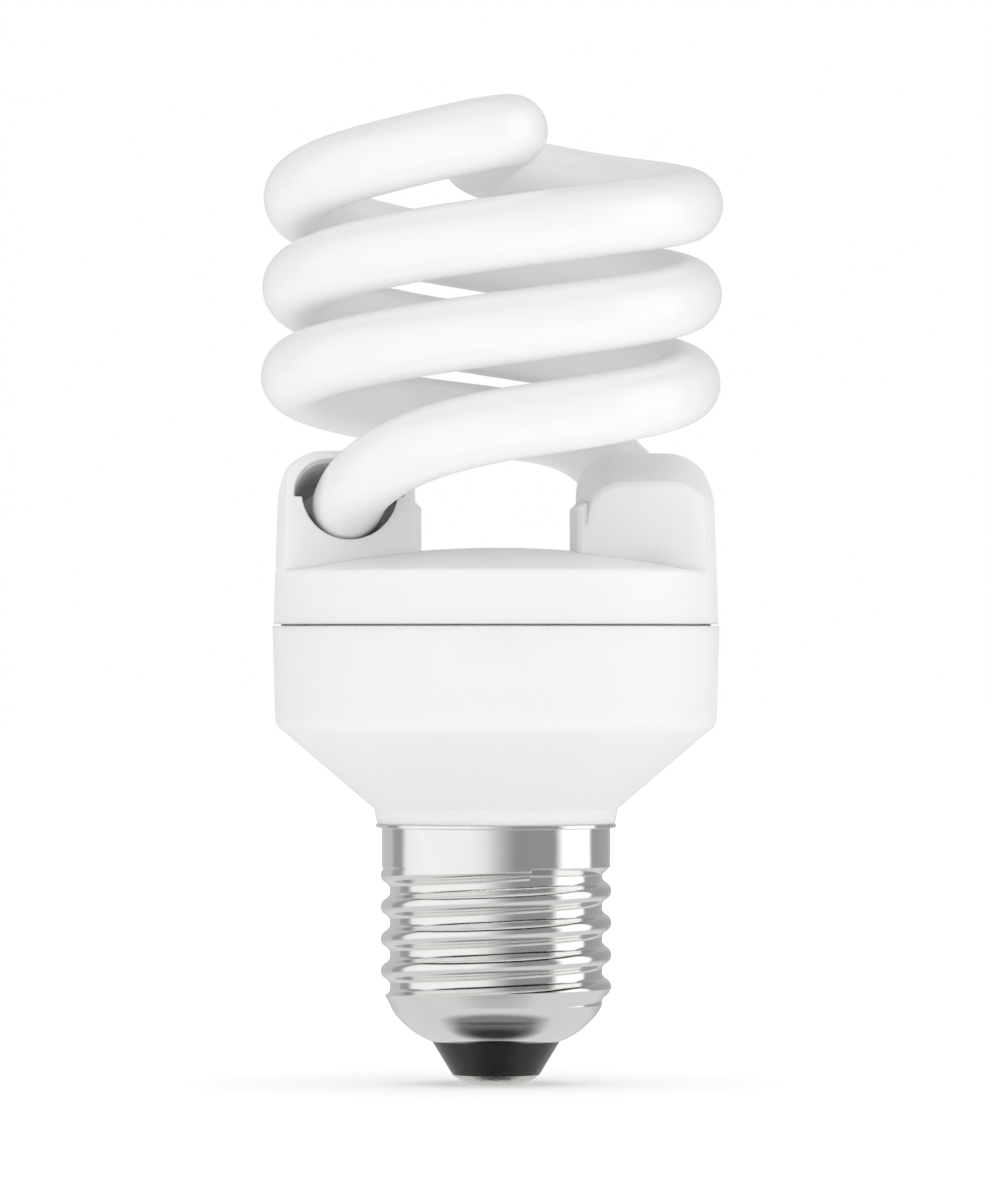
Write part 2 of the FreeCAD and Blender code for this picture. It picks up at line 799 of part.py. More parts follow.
# ---- rolled screw shell: a turned blank with the thread wave on it, cut to its outside
# form (skirt, fade of the thread, bowl) and then hollowed
shell = new_body("screw_shell")
flange_r = skirt_r + dim("flange_ledge")
flange_z = neck_base_z - dim("flange_thick")
bowl_mid_r = root_r - dim("bowl_mid_inset")
bowl_top = dim("bowl_top_z")
bowl_upper_r = dim("bowl_upper_r")
bowl_lower_r = dim("bowl_lower_r")
bowl_mouth_r = root_r - dim("bowl_mouth_inset")
bowl_mouth_z = dim("bowl_mouth_z")
bowl_mid_in_r = bowl_mid_r - shell_wall * 0.8
bowl_mid_in_z = dim("bowl_mid_z") + shell_wall * 0.6
shoulder_z = skirt_z - (skirt_r - root_r)
turned(shell, "Revolution", "shell_blank", [
    (0, bowl_mouth_z),
    (root_r, bowl_mouth_z),
    (root_r, shoulder_z),
    (skirt_r, skirt_z),
    (skirt_r, flange_z),
    (flange_r, flange_z),
    (flange_r, neck_base_z),
    (0, neck_base_z),
])

# one wave of the knuckle thread: crest and troughs of one radius, which touch at mid height;
# the troughs lie a little below the blank, so that the ridge grows out of it at an angle
ridge_sketch = new_sketch(shell, "ridge_sketch", "XZ_Plane")
pitch = dim("thread_pitch")
trough_r = root_r - dim("thread_sink")
depth = crest_r - trough_r
wave_r = (depth * depth + pitch * pitch / 4) / (4 * depth)
middle_r = (crest_r + trough_r) / 2
low_z = dim("thread_low_z")
foot_gap = dim("foot_gap")
foot_r = trough_r + wave_r - root(wave_r * wave_r - foot_gap * foot_gap)
foot_half = pitch / 2 - foot_gap
ridge_base = trough_r - dim("thread_sink")
outline(ridge_sketch, [
    (-ridge_base, low_z + foot_half),
    (-ridge_base, low_z - foot_half),
    (-foot_r, low_z - foot_half, wave_r),
    (-middle_r, low_z - pitch / 4, -wave_r),
    (-middle_r, low_z + pitch / 4, wave_r),
    (-foot_r, low_z + foot_half),
])
ridge = shell.newObject("PartDesign::AdditiveHelix", "thread_ridge")
ridge.Profile = ridge_sketch
ridge.ReferenceAxis = (ridge_sketch, ["V_Axis"])
ridge.Mode = 0
bind(ridge, "Pitch", pitch)
bind(ridge, "Height", pitch * dim("thread_turns"))
ridge.LeftHanded = False
ridge.Reversed = False

clear_r = crest_r + cut_over
below = low_z - pitch
turned(shell, "Groove", "shell_outside", [
    (skirt_r, flange_z),
    (skirt_r, skirt_z),
    (crest_r + dim("crest_play"), skirt_z - dim("thread_merge")),
    (crest_r + dim("crest_play"), bowl_top + dim("thread_fade")),
    (root_r, bowl_top, -bowl_upper_r),
    (bowl_mid_r, dim("bowl_mid_z"), -bowl_lower_r),
    (bowl_mouth_r, bowl_mouth_z),
    (bowl_mouth_r, below),
    (clear_r, below),
    (clear_r, flange_z),
])
turned(shell, "Groove", "shell_hollow", [
    (0, below),
    (bowl_mouth_r, below),
    (bowl_mouth_r, bowl_mouth_z + shell_wall, bowl_lower_r),
    (bowl_mid_in_r, bowl_mid_in_z, bowl_upper_r),
    (thread_bore_r, bowl_top),
    (thread_bore_r, shoulder_z + shell_wall * slant_share),
    (skirt_bore_r, skirt_z + shell_wall * slant_share),
    (skirt_bore_r, neck_base_z + cut_over),
    (0, neck_base_z + cut_over),
])
keep(shell, "screw_shell")


# ---- insulator that closes the bowl, and the domed centre contact
insulator = new_body("cap_insulator")
insulator_low_z = dim("insulator_low_z")
insulator_low_r = bowl_mouth_r - dim("insulator_taper")
insulator_bore_r = dim("contact_stem_r") + dim("stem_play")
turned(insulator, "Revolution", "insulator_turned", [
    (insulator_bore_r, insulator_low_z),
    (insulator_low_r, insulator_low_z),
    (bowl_mouth_r, bowl_mouth_z),
    (bowl_mouth_r, bowl_mouth_z + shell_wall, bowl_lower_r),
    (bowl_mid_in_r, bowl_mid_in_z),
    (insulator_bore_r, bowl_mid_in_z),
])
keep(insulator, "cap_insulator")

contact = new_body("centre_contact")
stem_top = insulator_low_z + dim("contact_stem")
turned(contact, "Revolution", "contact_turned", [
    (0, stem_top),
    (dim("contact_stem_r"), stem_top),
    (dim("contact_stem_r"), insulator_low_z),
    (insulator_low_r - dim("contact_ledge"), insulator_low_z, -dim("contact_edge_r")),
    (dim("contact_flat_r"), 0),
    (0, 0),
])
keep(contact, "centre_contact")

# ---- cement that holds the two tube ends in their collars
for name, side in (("cement_ring_front", -1), ("cement_ring_back", 1)):
    blank = cylinder(name + "_blank", dim("socket_bore_r"), dim("cement_height"),
                     side * socket_x, -side * socket_y, collar_foot)
    passage = cylinder(name + "_passage", tube_r, dim("cement_height"),
                       side * socket_x, -side * socket_y, collar_foot)
    keep(joined(name, "Cut", blank, passage), name)

# ---- circuit board, clamped between the ribs and the lip of the cover
board = new_body("circuit_board")
board_sketch = new_sketch(board, "board_sketch", "XY_Plane", board_z)
disc(board_sketch, 0, 0, bore_r - dim("board_play"))
extruded(board, "Pad", "board_plate", board_sketch, dim("board_thick"))
keep(board, "circuit_board")

# ---- smoothing capacitor, hanging from the board into the neck
capacitor = new_body("bulk_capacitor")
capacitor_foot = board_z - dim("capacitor_length")
capacitor_r = dim("capacitor_r")
can_edge = dim("capacitor_edge_r")
bead_z = board_z - dim("capacitor_bead_drop") - dim("capacitor_bead_half")
turned(capacitor, "Revolution", "capacitor_can", [
    (0, capacitor_foot),
    (capacitor_r - can_edge, capacitor_foot, can_edge),
    (capacitor_r, capacitor_foot + can_edge),
    (capacitor_r, bead_z - dim("capacitor_bead_half")),
    (capacitor_r - dim("capacitor_bead"), bead_z),
    (capacitor_r, bead_z + dim("capacitor_bead_half")),
    (capacitor_r, board_z - can_edge, can_edge),
    (capacitor_r - can_edge, board_z),
    (0, board_z),
])
place(capacitor, capacitor_r + dim("capacitor_play") - spigot_bore_r)
keep(capacitor, "bulk_capacitor")

# ---- choke: core with two windows, bobbin on its middle leg, winding on the bobbin
choke_x = dim("choke_x")
choke_y = dim("choke_y")
leg = dim("choke_leg")
post = dim("choke_post_r")
window = dim("choke_length") / 2 - leg - post
window_z = board_top + leg
window_height = dim("choke_height") - 2 * leg
core_block = box("core_block", dim("choke_length"), dim("choke_width"), dim("choke_height"),
                 choke_x, choke_y, board_top)
core_windows = fused("core_windows", [
    box("core_window_%s" % name, window, dim("choke_width") + 2 * cut_over, window_height,
        choke_x + side * (post + window / 2), choke_y, window_z)
    for name, side in (("left", -1), ("right", 1))
])
keep(joined("choke_core", "Cut", core_block, core_windows), "choke_core")

bobbin_wall = dim("bobbin_wall")
reach = window - dim("bobbin_play")
flange_length = 2 * (post + reach)
flange_width = dim("choke_width") + 2 * reach
sleeve_length = 2 * (post + bobbin_wall)
sleeve_width = dim("choke_width") + 2 * bobbin_wall
bobbin_solid = fused("bobbin_solid", [
    box("bobbin_sleeve", sleeve_length, sleeve_width, window_height, choke_x, choke_y, window_z),
    box("bobbin_foot", flange_length, flange_width, bobbin_wall, choke_x, choke_y, window_z),
    box("bobbin_head", flange_length, flange_width, bobbin_wall, choke_x, choke_y,
        window_z + window_height - bobbin_wall),
])
bobbin_bore = box("bobbin_bore", 2 * post, dim("choke_width"), window_height, choke_x, choke_y, window_z)
keep(joined("choke_bobbin", "Cut", bobbin_solid, bobbin_bore), "choke_bobbin")

winding = new_body("choke_winding")
winding_sketch = new_sketch(winding, "winding_sketch", "XY_Plane", window_z + bobbin_wall)
half_x = flange_length / 2 - dim("winding_inset")
half_y = flange_width / 2 - dim("winding_inset")
round_r = dim("winding_corner_r")
outline(winding_sketch, [
    (round_r - half_x, -half_y),
    (half_x - round_r, -half_y, round_r),
    (half_x, round_r - half_y),
    (half_x, half_y - round_r, round_r),
    (half_x - round_r, half_y),
    (round_r - half_x, half_y, round_r),
    (-half_x, half_y - round_r),
    (-half_x, round_r - half_y, round_r),
])
hole_corners = [(-sleeve_length / 2, -sleeve_width / 2), (sleeve_length / 2, -sleeve_width / 2),
                (sleeve_length / 2, sleeve_width / 2), (-sleeve_length / 2, sleeve_width / 2)]
winding_pad = extruded(winding, "Pad", "winding_pad", winding_sketch, window_height - 2 * bobbin_wall)
winding_hole = new_sketch(winding, "winding_hole_sketch", "XY_Plane", window_z + bobbin_wall)
outline(winding_hole, hole_corners)
extruded(winding, "Pocket", "winding_hole", winding_hole, window_height - 2 * bobbin_wall, reverse=True)
place(winding, choke_x, choke_y)
keep(winding, "choke_winding")

# ---- feedback ring with its three short windings
ring_x = dim("ring_x")
ring_y = dim("ring_inset") - lip_inner_r
ring_z = board_top + dim("ring_wire_r") * 2
ring_blank = cylinder("ring_blank", dim("ring_r"), dim("ring_thick"), ring_x, ring_y, ring_z)
ring_bore = cylinder("ring_bore", dim("ring_bore_r"), dim("ring_thick"), ring_x, ring_y, ring_z)
ring_core = keep(joined("feedback_ring", "Cut", ring_blank, ring_bore), "feedback_ring")
wrap = dim("ring_wire_r") * 2
band_length = dim("ring_r") - dim("ring_bore_r") + 2 * wrap
band_middle = (dim("ring_r") + dim("ring_bore_r")) / 2
for k in range(3):
    name = "feedback_winding_%d" % (k + 1)
    degrees = 90 + 120 * k
    along = FreeCAD.Vector(math.cos(math.radians(degrees)), math.sin(math.radians(degrees)), 0)
    band = doc.addObject("Part::Box", name + "_block")
    bind(band, "Length", band_length)
    bind(band, "Width", dim("ring_band"))
    bind(band, "Height", dim("ring_thick") + 2 * wrap)
    band.Placement.Rotation = FreeCAD.Rotation(FreeCAD.Vector(0, 0, 1), degrees)
    out = band_middle - band_length / 2
    place(band, ring_x + out * along.x + dim("ring_band") / 2 * along.y,
          ring_y + out * along.y - dim("ring_band") / 2 * along.x, ring_z - wrap)
    keep(joined(name, "Cut", band, ring_core), name)

# ---- drum core of the input filter and its winding
emi = new_body("filter_core")
emi_x = dim("emi_x")
emi_y = lip_inner_r - dim("emi_inset")
emi_top = board_top + dim("emi_height")
turned(emi, "Revolution", "drum", [
    (0, board_top),
    (dim("emi_r"), board_top),
    (dim("emi_r"), board_top + dim("emi_flange")),
    (dim("emi_waist_r"), board_top + dim("emi_flange")),
    (dim("emi_waist_r"), emi_top - dim("emi_flange")),
    (dim("emi_r"), emi_top - dim("emi_flange")),
    (dim("emi_r"), emi_top),
    (0, emi_top),
])
place(emi, emi_x, emi_y)
keep(emi, "filter_core")
coil_z = board_top + dim("emi_flange")
coil_height = dim("emi_height") - 2 * dim("emi_flange")
coil_blank = cylinder("coil_blank", dim("emi_coil_r"), coil_height, emi_x, emi_y, coil_z)
coil_bore = cylinder("coil_bore", dim("emi_waist_r"), coil_height, emi_x, emi_y, coil_z)
keep(joined("filter_winding", "Cut", coil_blank, coil_bore), "filter_winding")

# ---- transistors and film capacitors
for name, side in (("transistor_high", 1), ("transistor_low", -1)):
    middle_x = side * (lip_inner_r - dim("transistor_inset"))
    middle_y = side * dim("transistor_y")
    block = box(name + "_block", dim("transistor_width"), dim("transistor_thick"),
                dim("transistor_height"), middle_x, middle_y, board_top + dim("transistor_lead"))
    leads = [cylinder("%s_lead_%d" % (name, k), dim("lead_r"), dim("transistor_lead") + dim("lead_sink"),
                      middle_x + (k - 1) * dim("transistor_pitch"), middle_y, board_top)
             for k in range(3)]
    keep(fused(name, [block] + leads), name)

for name, stem, side in (("film_capacitor", "film", -1), ("snubber_capacitor", "snubber", 1)):
    block = box(name + "_block", dim(stem + "_length"), dim(stem + "_width"), dim(stem + "_height"),
                dim(stem + "_x"), side * (lip_inner_r - dim(stem + "_inset")), board_top)
    doc.recompute()
    rounded = doc.addObject("Part::Fillet", name)
    rounded.Base = block
    upright = [(k + 1, number("film_edge_r"), number("film_edge_r"))
               for k, edge in enumerate(block.Shape.Edges)
               if abs(edge.tangentAt(edge.FirstParameter).z) > 0.5]
    rounded.Edges = upright
    keep(rounded, name)


# ---- parts with a lead at each end, lying under the board
def axial_part(name, stem, x, y, along):
    radius = dim(stem + "_r")
    length = dim(stem + "_length")
    lead = dim(stem + "_lead")
    lead_r = dim("lead_r")
    axis_z = board_z - radius
    pieces = [
        lying_cylinder(name + "_barrel", radius, length, x, y, axis_z, along),
        lying_cylinder(name + "_wire", lead_r, length + 2 * lead, x, y, axis_z, along),
    ]
    pin_r = dim("pin_r")
    for k, side in enumerate((-1, 1)):
        reach = side * (length / 2 + lead)
        pieces.append(cylinder("%s_pin_%d" % (name, k), pin_r, radius + pin_r,
                               x + reach * along.x, y + reach * along.y, axis_z - pin_r))
    keep(fused(name, pieces), name)


lengthwise = FreeCAD.Vector(0, 1, 0)
crosswise = FreeCAD.Vector(1, 0, 0)
diode_y = lip_inner_r - dim("diode_inset")
for k in range(4):
    axial_part("diode_%d" % (k + 1), "diode", dim("diode_space_x") * (k % 2 - 0.5),
               diode_y + dim("diode_space_y") * (k // 2 - 0.5), crosswise)
axial_part("fuse_resistor", "fuse", 0, -dim("fuse_y"), crosswise)

thermistor = lying_cylinder("thermistor", dim("thermistor_r"), dim("thermistor_thick"),
                            dim("thermistor_x"), dim("thermistor_y"),
                            board_z - dim("thermistor_r"), lengthwise)
keep(thermistor, "thermistor")

# ---- wires: tube filaments to the posts, board to the screw shell and to the contact
for leg_name, side in (("front", -1), ("back", 1)):
    for k, shift in enumerate((-0.5, 0.5)):
        x = side * socket_x + shift * dim("filament_space")
        y = -side * socket_y
        post_top = board_top + dim("post_height")
        wire = "lamp_wire_%s_%d" % (leg_name, k + 1)
        keep(cylinder(wire, dim("wire_r"), tube_end_z - post_top, x, y, post_top), wire)
        peg = "wrap_post_%s_%d" % (leg_name, k + 1)
        keep(box(peg, dim("post_width"), dim("post_width"), dim("post_height"), x, y, board_top), peg)

keep(cylinder("contact_wire", dim("shell_wire_r"), board_z - stem_top, 0, 0, stem_top), "contact_wire")
wire_x = spigot_bore_r - dim("shell_wire_r") - dim("wire_play")
foot_z = spigot_z - dim("shell_wire_drop")
foot_reach = root(thread_bore_r * thread_bore_r - dim("shell_wire_r") * dim("shell_wire_r")) - wire_x
shell_down = cylinder("shell_wire_down", dim("shell_wire_r"), board_z - foot_z, wire_x, 0, foot_z)
shell_foot = lying_cylinder("shell_wire_foot", dim("shell_wire_r"), foot_reach, wire_x + foot_reach / 2, 0,
                            foot_z, crosswise)
keep(fused("shell_wire", [shell_down, shell_foot]), "shell_wire")

doc.recompute()
for item in doc.Objects:
    if "Invalid" in item.State or "Error" in item.State:
        raise RuntimeError("%s did not compute: %s" % (item.Label, item.State))
os.makedirs("parts", exist_ok=True)
for item in nodes:
    shape = item.Shape
    if shape.isNull() or not shape.isValid() or len(shape.Solids) != 1:
        raise RuntimeError("%s has no sound solid: %d solids" % (item.Label, len(shape.Solids)))
for item in nodes:
    item.Shape.exportStep(os.path.join("parts", item.Label + ".step"))
    print("%-22s %9.2f mm3 %3d faces" % (item.Label, item.Shape.Volume, len(item.Shape.Faces)))
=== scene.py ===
import json
import math
import bpy
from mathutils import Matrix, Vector

# Looks of the spiral lamp.  Metres, +Z up along the lamp axis, the viewer on the -Y side.

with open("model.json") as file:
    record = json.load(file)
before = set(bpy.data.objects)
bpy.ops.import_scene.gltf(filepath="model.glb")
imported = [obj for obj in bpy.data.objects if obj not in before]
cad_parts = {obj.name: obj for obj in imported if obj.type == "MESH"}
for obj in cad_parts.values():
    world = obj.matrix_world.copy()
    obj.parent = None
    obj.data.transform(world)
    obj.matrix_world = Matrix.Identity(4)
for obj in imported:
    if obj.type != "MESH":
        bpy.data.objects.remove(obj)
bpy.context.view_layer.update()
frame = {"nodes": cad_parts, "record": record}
nodes = frame["nodes"]
slots = {part["node"]: part["material_slot"] for part in frame["record"]["subparts"]}

# the camera: a long lens, level with the ballast housing (lens and sensor in millimetres)
LENS = 180
SENSOR = 24
CAMERA_DISTANCE = 1.0193
CAMERA_HEIGHT = 0.05006
CAMERA_CLIP = (0.05, 20)
AIM_HEIGHT = 0.05459

# the floor, a hair below the contact: it glows so that the camera sees it white away from the
# lamp, and a little more for the undersides; a reach runs outward from the lamp's axis
FLOOR_HALF = 4.0
FLOOR_DROP = 0.0002
FLOOR_COLOUR = (0.82, 0.82, 0.81)
FLOOR_MOTTLE = 0.02
CAMERA_GLOW = (0.28, 1.0)
CAMERA_GLOW_REACH = (0.03, 0.25)
RETURN_GLOW = (0.0, 0.34)
RETURN_GLOW_REACH = (0.01, 0.06)

# what the metal mirrors, by the angle round the lamp in degrees (0 is the viewer's side, plus
# is to the viewer's right): two white screens with grey gaps between them
SCREENS = [
    (-180, 0.58), (-131, 0.58), (-124, 0.37), (-111, 0.36), (-103, 0.98), (-80, 1.05), (-26, 1.02),
    (-11, 0.90), (9, 0.48), (20, 0.31), (62, 0.33), (72, 1.30), (108, 1.30), (113, 0.36),
    (150, 0.42), (180, 0.58),
]
# above and below them, by the angle from the level in degrees: where one level gives way to
# the next, and what it becomes
ZENITH_RISE = (38, 48)
ZENITH_LEVEL = 0.02
GROUND_RISE = (-8, -22)
GROUND_LEVEL = 0.74
NADIR_RISE = (-54, -68)
NADIR_LEVEL = 0.25
# a darker patch below, its middle leaning from straight down to the back, in degrees, and the
# angles from its middle where it starts and is full
PATCH_LEAN = 20
PATCH_REACH = (22, 8)
PATCH_LEVEL = 0.04

# what lights the matte surfaces from all round, and how much more from the viewer's right
AROUND = 0.88
RIGHTWARD = 0.10
LAMP_MIDDLE = Vector((0, 0, 0.055))

# heights over which the tube's ends turn from grey to white
TUBE_ENDS = (0.0545, 0.0600)
# the far side of the bulk capacitor from the lamp's axis, where its pale stripe runs
CAN_STRIPE = (-0.0104, -0.0102)


# node trees
def tree_of(material):
    material.use_nodes = True
    tree = material.node_tree
    tree.nodes.clear()
    return tree


def colour(rgb):
    return (rgb[0], rgb[1], rgb[2], 1.0)


def feed(tree, socket, value):
    """Links the input to a socket, or sets its own value."""
    if isinstance(value, bpy.types.NodeSocket):
        tree.links.new(value, socket)
    else:
        socket.default_value = value


def add(tree, kind, inputs=None, **properties):
    """A node with its properties set and its inputs fed."""
    item = tree.nodes.new(kind)
    for name, value in properties.items():
        setattr(item, name, value)
    for name, value in (inputs or {}).items():
        feed(tree, item.inputs[name], value)
    return item


def place_of(tree, stretch=(1, 1, 1)):
    """Position in the lamp's own frame, in metres, stretched for patterns with a direction."""
    here = add(tree, "ShaderNodeTexCoord").outputs["Object"]
    if stretch == (1, 1, 1):
        return here
    return add(tree, "ShaderNodeVectorMath", {0: here, 1: stretch}, operation="MULTIPLY").outputs[0]


def noise(tree, place, scale, detail=3.0, roughness=0.5):
    item = add(tree, "ShaderNodeTexNoise",
               {"Vector": place, "Scale": scale, "Detail": detail, "Roughness": roughness})
    return item.outputs["Fac"]


def spread(tree, value, low, high, start=0.3, end=0.7):
    """A number that runs from low to high as value runs from start to end."""
    item = add(tree, "ShaderNodeMapRange",
               {"Value": value, "From Min": start, "From Max": end, "To Min": low, "To Max": high})
    return item.outputs["Result"]


def choose(tree, share, first, second):
    """A number: first where share is 0, second where it is 1."""
    return add(tree, "ShaderNodeMix", {0: share, 2: first, 3: second}, data_type="FLOAT").outputs[0]


def blend(tree, share, first, second):
    """A colour: first, which may be a socket, where share is 0, and second where it is 1."""
    if not isinstance(first, bpy.types.NodeSocket):
        first = colour(first)
    item = add(tree, "ShaderNodeMix", {0: share, 6: first, 7: colour(second)},
               data_type="RGBA", clamp_factor=True)
    return item.outputs[2]


def bumps(tree, height, depth, over=None):
    """The surface's normal with the pattern of height on it, depth metres deep, over another."""
    item = add(tree, "ShaderNodeBump", {"Strength": 1.0, "Distance": depth, "Height": height})
    if over is not None:
        tree.links.new(over, item.inputs["Normal"])
    return item.outputs["Normal"]


def soft_edges(tree, radius):
    return add(tree, "ShaderNodeBevel", {"Radius": radius}, samples=6).outputs["Normal"]


def finish_with(tree, inputs):
    surface = add(tree, "ShaderNodeBsdfPrincipled", inputs)
    output = add(tree, "ShaderNodeOutputMaterial")
    tree.links.new(surface.outputs[0], output.inputs["Surface"])


# materials, one function for each finish
def coated_glass(tree):
    place = place_of(tree)
    tint = blend(tree, noise(tree, place, scale=55), (0.925, 0.928, 0.926), (0.955, 0.956, 0.952))
    height = add(tree, "ShaderNodeSeparateXYZ", {0: place}).outputs["Z"]
    end_grey = spread(tree, height, 0.55, 0.0, *TUBE_ENDS)
    tint = blend(tree, end_grey, tint, (0.42, 0.40, 0.37))
    wave = bumps(tree, noise(tree, place, scale=180, detail=2.0), depth=0.00006)
    gloss = spread(tree, noise(tree, place, scale=400), 0.30, 0.38)
    finish_with(tree, {"Base Color": tint, "Roughness": gloss, "Normal": wave, "IOR": 1.5,
                       "Coat Weight": 0.35, "Coat Roughness": 0.12, "Coat Normal": wave})


def white_plastic(tree):
    place = place_of(tree)
    tint = blend(tree, noise(tree, place, scale=90), (0.910, 0.912, 0.908), (0.940, 0.941, 0.937))
    grain = bumps(tree, noise(tree, place, scale=5200, detail=2.0, roughness=0.7), depth=0.000012,
                  over=soft_edges(tree, radius=0.00035))
    gloss = spread(tree, noise(tree, place, scale=700), 0.38, 0.50)
    finish_with(tree, {"Base Color": tint, "Roughness": gloss, "Normal": grain, "IOR": 1.49,
                       "Subsurface Weight": 0.4, "Subsurface Radius": (1.0, 1.0, 0.95),
                       "Subsurface Scale": 0.002})


def plated_shell(tree):
    tarnish = noise(tree, place_of(tree), scale=420, detail=4.0, roughness=0.65)
    tint = blend(tree, tarnish, (0.80, 0.797, 0.785), (0.86, 0.857, 0.845))
    round_it = place_of(tree, stretch=(90, 90, 6000))
    ring_lines = noise(tree, round_it, scale=1.0, detail=3.0, roughness=0.6)
    waves = noise(tree, place_of(tree, stretch=(110, 110, 260)), scale=1.0, detail=1.0)
    scored = bumps(tree, ring_lines, depth=0.000001, over=soft_edges(tree, radius=0.00015))
    rolled = bumps(tree, waves, depth=0.00005, over=scored)
    gloss = spread(tree, ring_lines, 0.08, 0.13)
    finish_with(tree, {"Base Color": tint, "Metallic": 1.0, "Roughness": gloss, "Normal": rolled})


def black_glass(tree):
    place = place_of(tree)
    tint = blend(tree, noise(tree, place, scale=300), (0.009, 0.008, 0.007), (0.016, 0.015, 0.013))
    flow = bumps(tree, noise(tree, place, scale=420, detail=2.0), depth=0.00008)
    gloss = spread(tree, noise(tree, place, scale=900), 0.08, 0.20)
    finish_with(tree, {"Base Color": tint, "Roughness": gloss, "Normal": flow, "IOR": 1.47})


def contact_metal(tree):
    place = place_of(tree)
    tint = blend(tree, noise(tree, place, scale=500), (0.56, 0.55, 0.53), (0.74, 0.73, 0.70))
    puddle = bumps(tree, noise(tree, place, scale=650, detail=2.0), depth=0.0001)
    gloss = spread(tree, noise(tree, place, scale=1500), 0.18, 0.34)
    finish_with(tree, {"Base Color": tint, "Metallic": 1.0, "Roughness": gloss, "Normal": puddle})


def cement(tree):
    place = place_of(tree)
    sand = noise(tree, place, scale=900, detail=5.0)
    tint = blend(tree, sand, (0.70, 0.67, 0.60), (0.88, 0.86, 0.80))
    rough = bumps(tree, noise(tree, place, scale=1800, detail=4.0, roughness=0.8), depth=0.00012)
    finish_with(tree, {"Base Color": tint, "Roughness": 0.9, "Normal": rough})


def board_laminate(tree):
    fibres = noise(tree, place_of(tree, stretch=(1, 6, 1)), scale=700, detail=4.0, roughness=0.7)
    tint = blend(tree, fibres, (0.46, 0.33, 0.15), (0.62, 0.48, 0.25))
    weave = bumps(tree, fibres, depth=0.00003)
    gloss = spread(tree, noise(tree, place_of(tree), scale=300), 0.40, 0.60)
    finish_with(tree, {"Base Color": tint, "Roughness": gloss, "Normal": weave})


def can_sleeve(tree):
    place = place_of(tree)
    tint = blend(tree, noise(tree, place, scale=400), (0.012, 0.022, 0.075), (0.025, 0.040, 0.110))
    across = add(tree, "ShaderNodeSeparateXYZ", {0: place}).outputs["X"]
    stripe = spread(tree, across, 1.0, 0.0, *CAN_STRIPE)
    tint = blend(tree, stripe, tint, (0.45, 0.47, 0.50))
    drawn = noise(tree, place_of(tree, stretch=(1, 1, 0.2)), scale=700, detail=2.0)
    shrink = bumps(tree, drawn, depth=0.00003)
    finish_with(tree, {"Base Color": tint, "Roughness": 0.3, "Normal": shrink})


def ferrite(tree):
    place = place_of(tree)
    specks = noise(tree, place, scale=1200, detail=4.0)
    tint = blend(tree, specks, (0.020, 0.020, 0.022), (0.055, 0.054, 0.056))
    pores = bumps(tree, noise(tree, place, scale=3500, detail=3.0, roughness=0.7), depth=0.00003,
                  over=soft_edges(tree, radius=0.0003))
    finish_with(tree, {"Base Color": tint, "Roughness": 0.62, "Normal": pores})


def bobbin_plastic(tree):
    place = place_of(tree)
    tint = blend(tree, noise(tree, place, scale=500), (0.012, 0.012, 0.013), (0.022, 0.022, 0.023))
    grain = bumps(tree, noise(tree, place, scale=4000), depth=0.00001,
                  over=soft_edges(tree, radius=0.0002))
    finish_with(tree, {"Base Color": tint, "Roughness": 0.42, "Normal": grain})


def enamelled_copper(tree):
    turn_bands_and_painted_shade = add(tree, "ShaderNodeTexWave",
                {"Vector": place_of(tree), "Scale": 900.0, "Distortion": 1.2, "Detail": 1.0,
                 "Detail Scale": 0.4},
                wave_type="BANDS", bands_direction="Z", wave_profile="SIN").outputs["Fac"]
    # the colour follows the turns' bands: painted shade, dark brown in the grooves between the
    # turns, full copper on their tops
    tint = blend(tree, turn_bands_and_painted_shade, (0.20, 0.055, 0.018), (0.72, 0.28, 0.10))
    wires = bumps(tree, turn_bands_and_painted_shade, depth=0.00018)
    finish_with(tree, {"Base Color": tint, "Metallic": 0.85, "Roughness": 0.28, "Normal": wires,
                       "Coat Weight": 0.5, "Coat Roughness": 0.1})


def black_epoxy(tree):
    place = place_of(tree)
    tint = blend(tree, noise(tree, place, scale=900), (0.010, 0.010, 0.011), (0.026, 0.026, 0.027))
    grain = bumps(tree, noise(tree, place, scale=5000, detail=3.0), depth=0.000025,
                  over=soft_edges(tree, radius=0.0002))
    finish_with(tree, {"Base Color": tint, "Roughness": 0.55, "Normal": grain})


def film_coat(tree):
    place = place_of(tree)
    tint = blend(tree, noise(tree, place, scale=350), (0.26, 0.028, 0.012), (0.42, 0.060, 0.022))
    dip = bumps(tree, noise(tree, place, scale=500, detail=2.0), depth=0.00012,
                over=soft_edges(tree, radius=0.0004))
    finish_with(tree, {"Base Color": tint, "Roughness": 0.22, "Normal": dip})


def resistor_coat(tree):
    place = place_of(tree)
    tint = blend(tree, noise(tree, place, scale=1500), (0.07, 0.13, 0.09), (0.12, 0.20, 0.14))
    dust = bumps(tree, noise(tree, place, scale=2600, detail=3.0), depth=0.00004)
    finish_with(tree, {"Base Color": tint, "Roughness": 0.7, "Normal": dust})


def thermistor_coat(tree):
    place = place_of(tree)
    tint = blend(tree, noise(tree, place, scale=1100), (0.030, 0.075, 0.045), (0.060, 0.120, 0.070))
    dip = bumps(tree, noise(tree, place, scale=900, detail=3.0), depth=0.00006,
                over=soft_edges(tree, radius=0.0004))
    finish_with(tree, {"Base Color": tint, "Roughness": 0.5, "Normal": dip})


def tinned_wire(tree):
    place = place_of(tree, stretch=(1, 1, 0.1))
    tint = blend(tree, noise(tree, place, scale=2500), (0.60, 0.59, 0.56), (0.80, 0.79, 0.76))
    drawn = bumps(tree, noise(tree, place, scale=4000), depth=0.00002)
    finish_with(tree, {"Base Color": tint, "Metallic": 1.0, "Roughness": 0.32, "Normal": drawn})


